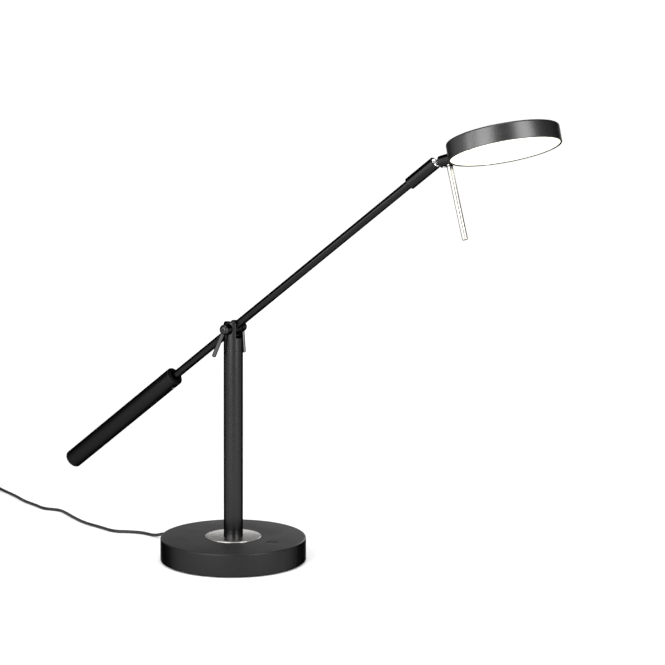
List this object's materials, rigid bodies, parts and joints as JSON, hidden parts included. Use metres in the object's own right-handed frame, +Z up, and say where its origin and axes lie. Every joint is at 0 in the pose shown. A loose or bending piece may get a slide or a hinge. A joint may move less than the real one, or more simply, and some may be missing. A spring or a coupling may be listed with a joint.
{
  "type": "desk lamp",
  "caption": "Desk lamp with a round weighted foot, a straight post, a counterweighted balance arm and a flat round light head on a ball joint.",
  "frame": {"origin": "centre of the foot's underside, on the surface it stands on", "axes": "+Z up, +X toward the light head in the arm's swing plane at rest, +Y to the rear lever's side"},
  "size_m": [0.8867, 0.2049, 0.4921],
  "materials": {
    "black_lacquer": "satin",
    "head_black": "black, satin",
    "lever_black": "glossy",
    "nickel": "polished",
    "chrome": "polished",
    "steel": "brushed",
    "iron": "rough",
    "foot_rubber": "matte",
    "cord_black": "satin",
    "plug_black": "satin",
    "pin_metal": "plated",
    "black_plastic": "satin",
    "bearing_plastic": "satin",
    "aluminium": "satin",
    "board_white": "matte",
    "led_yellow": "matte",
    "diffuser": "satin",
    "clip_white": "satin"
  },
  "bodies": {
    "base": {"base_shell": "black_lacquer", "base_ballast": "iron", "base_plate": "steel", "base_pad": "foot_rubber", "plate_screws": "steel", "trim_disc": "nickel", "driver_case": "black_plastic", "switch_body": "black_plastic", "switch_bezel": "black_plastic", "post_foot_collar": "black_lacquer", "post_foot_insert": "steel", "post_nipple": "steel", "post_nut": "steel", "post_washer": "steel", "post_tube": "black_lacquer", "post_top_bush": "bearing_plastic", "cord_gland": "cord_black", "cord_lead": "cord_black", "cord_coil": "cord_black", "cord_tail": "cord_black", "plug_body": "plug_black", "plug_pins": "pin_metal"},
    "button": {"switch_button": "black_plastic"},
    "fork": {"yoke": "black_lacquer", "yoke_retainer": "steel", "pivot_bolt": "steel", "outer_washers": "lever_black"},
    "front_lever": {"lever_hub_front": "lever_black", "lever_rod_front": "lever_black"},
    "rear_lever": {"lever_hub_rear": "lever_black", "lever_rod_rear": "lever_black"},
    "arm": {"pivot_block": "black_lacquer", "friction_washers": "bearing_plastic", "arm_tube": "black_lacquer", "arm_rod": "black_lacquer", "counterweight": "black_lacquer", "counterweight_collar": "black_lacquer", "counterweight_end_cap": "black_lacquer", "counterweight_grub_screw": "steel", "socket_sleeve": "black_lacquer", "arm_end_bush": "bearing_plastic"},
    "seat": {"socket_seat": "bearing_plastic"},
    "ball": {"ball_stud": "chrome"},
    "head": {"neck": "black_lacquer", "neck_grub_screw": "steel", "neck_screw": "steel", "handle_rod": "nickel", "handle_collar": "black_lacquer", "head_shell": "head_black", "heat_plate": "aluminium", "led_board": "board_white", "leds": "led_yellow", "diffuser": "diffuser", "diffuser_clips": "clip_white"}
  },
  "joints": [
    {"name": "button_press", "type": "slide", "parent": "base", "child": "button", "axis": [0, 0, -1], "range_m": [0, 0.001], "stiffness_N_per_m": 300, "springref_m": -0.0005},
    {"name": "fork_swivel", "type": "hinge", "parent": "base", "child": "fork", "pos_m": [0, 0, 0.2335], "axis": [0, 0, 1], "range_deg": [-165, 165]},
    {"name": "front_lever_turn", "type": "hinge", "parent": "fork", "child": "front_lever", "pos_m": [0, -0.0155, 0.257], "axis": [0, -1, 0], "range_deg": [-90, 90]},
    {"name": "rear_lever_turn", "type": "hinge", "parent": "fork", "child": "rear_lever", "pos_m": [0, 0.0155, 0.257], "axis": [0, -1, 0], "range_deg": [-90, 90]},
    {"name": "arm_pitch", "type": "hinge", "parent": "fork", "child": "arm", "pos_m": [0, 0, 0.257], "axis": [0, -1, 0], "range_deg": [-59, 13]},
    {"name": "socket_turn", "type": "hinge", "parent": "arm", "child": "seat", "pos_m": [0.2479, 0, 0.4438], "axis": [0.7986, 0, 0.6018], "range_deg": [-170, 170]},
    {"name": "ball_tilt", "type": "hinge", "parent": "seat", "child": "ball", "pos_m": [0.2479, 0, 0.4438], "axis": [0, -1, 0], "range_deg": [-7, 47]},
    {"name": "head_roll", "type": "hinge", "parent": "ball", "child": "head", "pos_m": [0.2479, 0, 0.4438], "axis": [0.9596, 0, 0.2815], "range_deg": [-75, 75]}
  ]
}
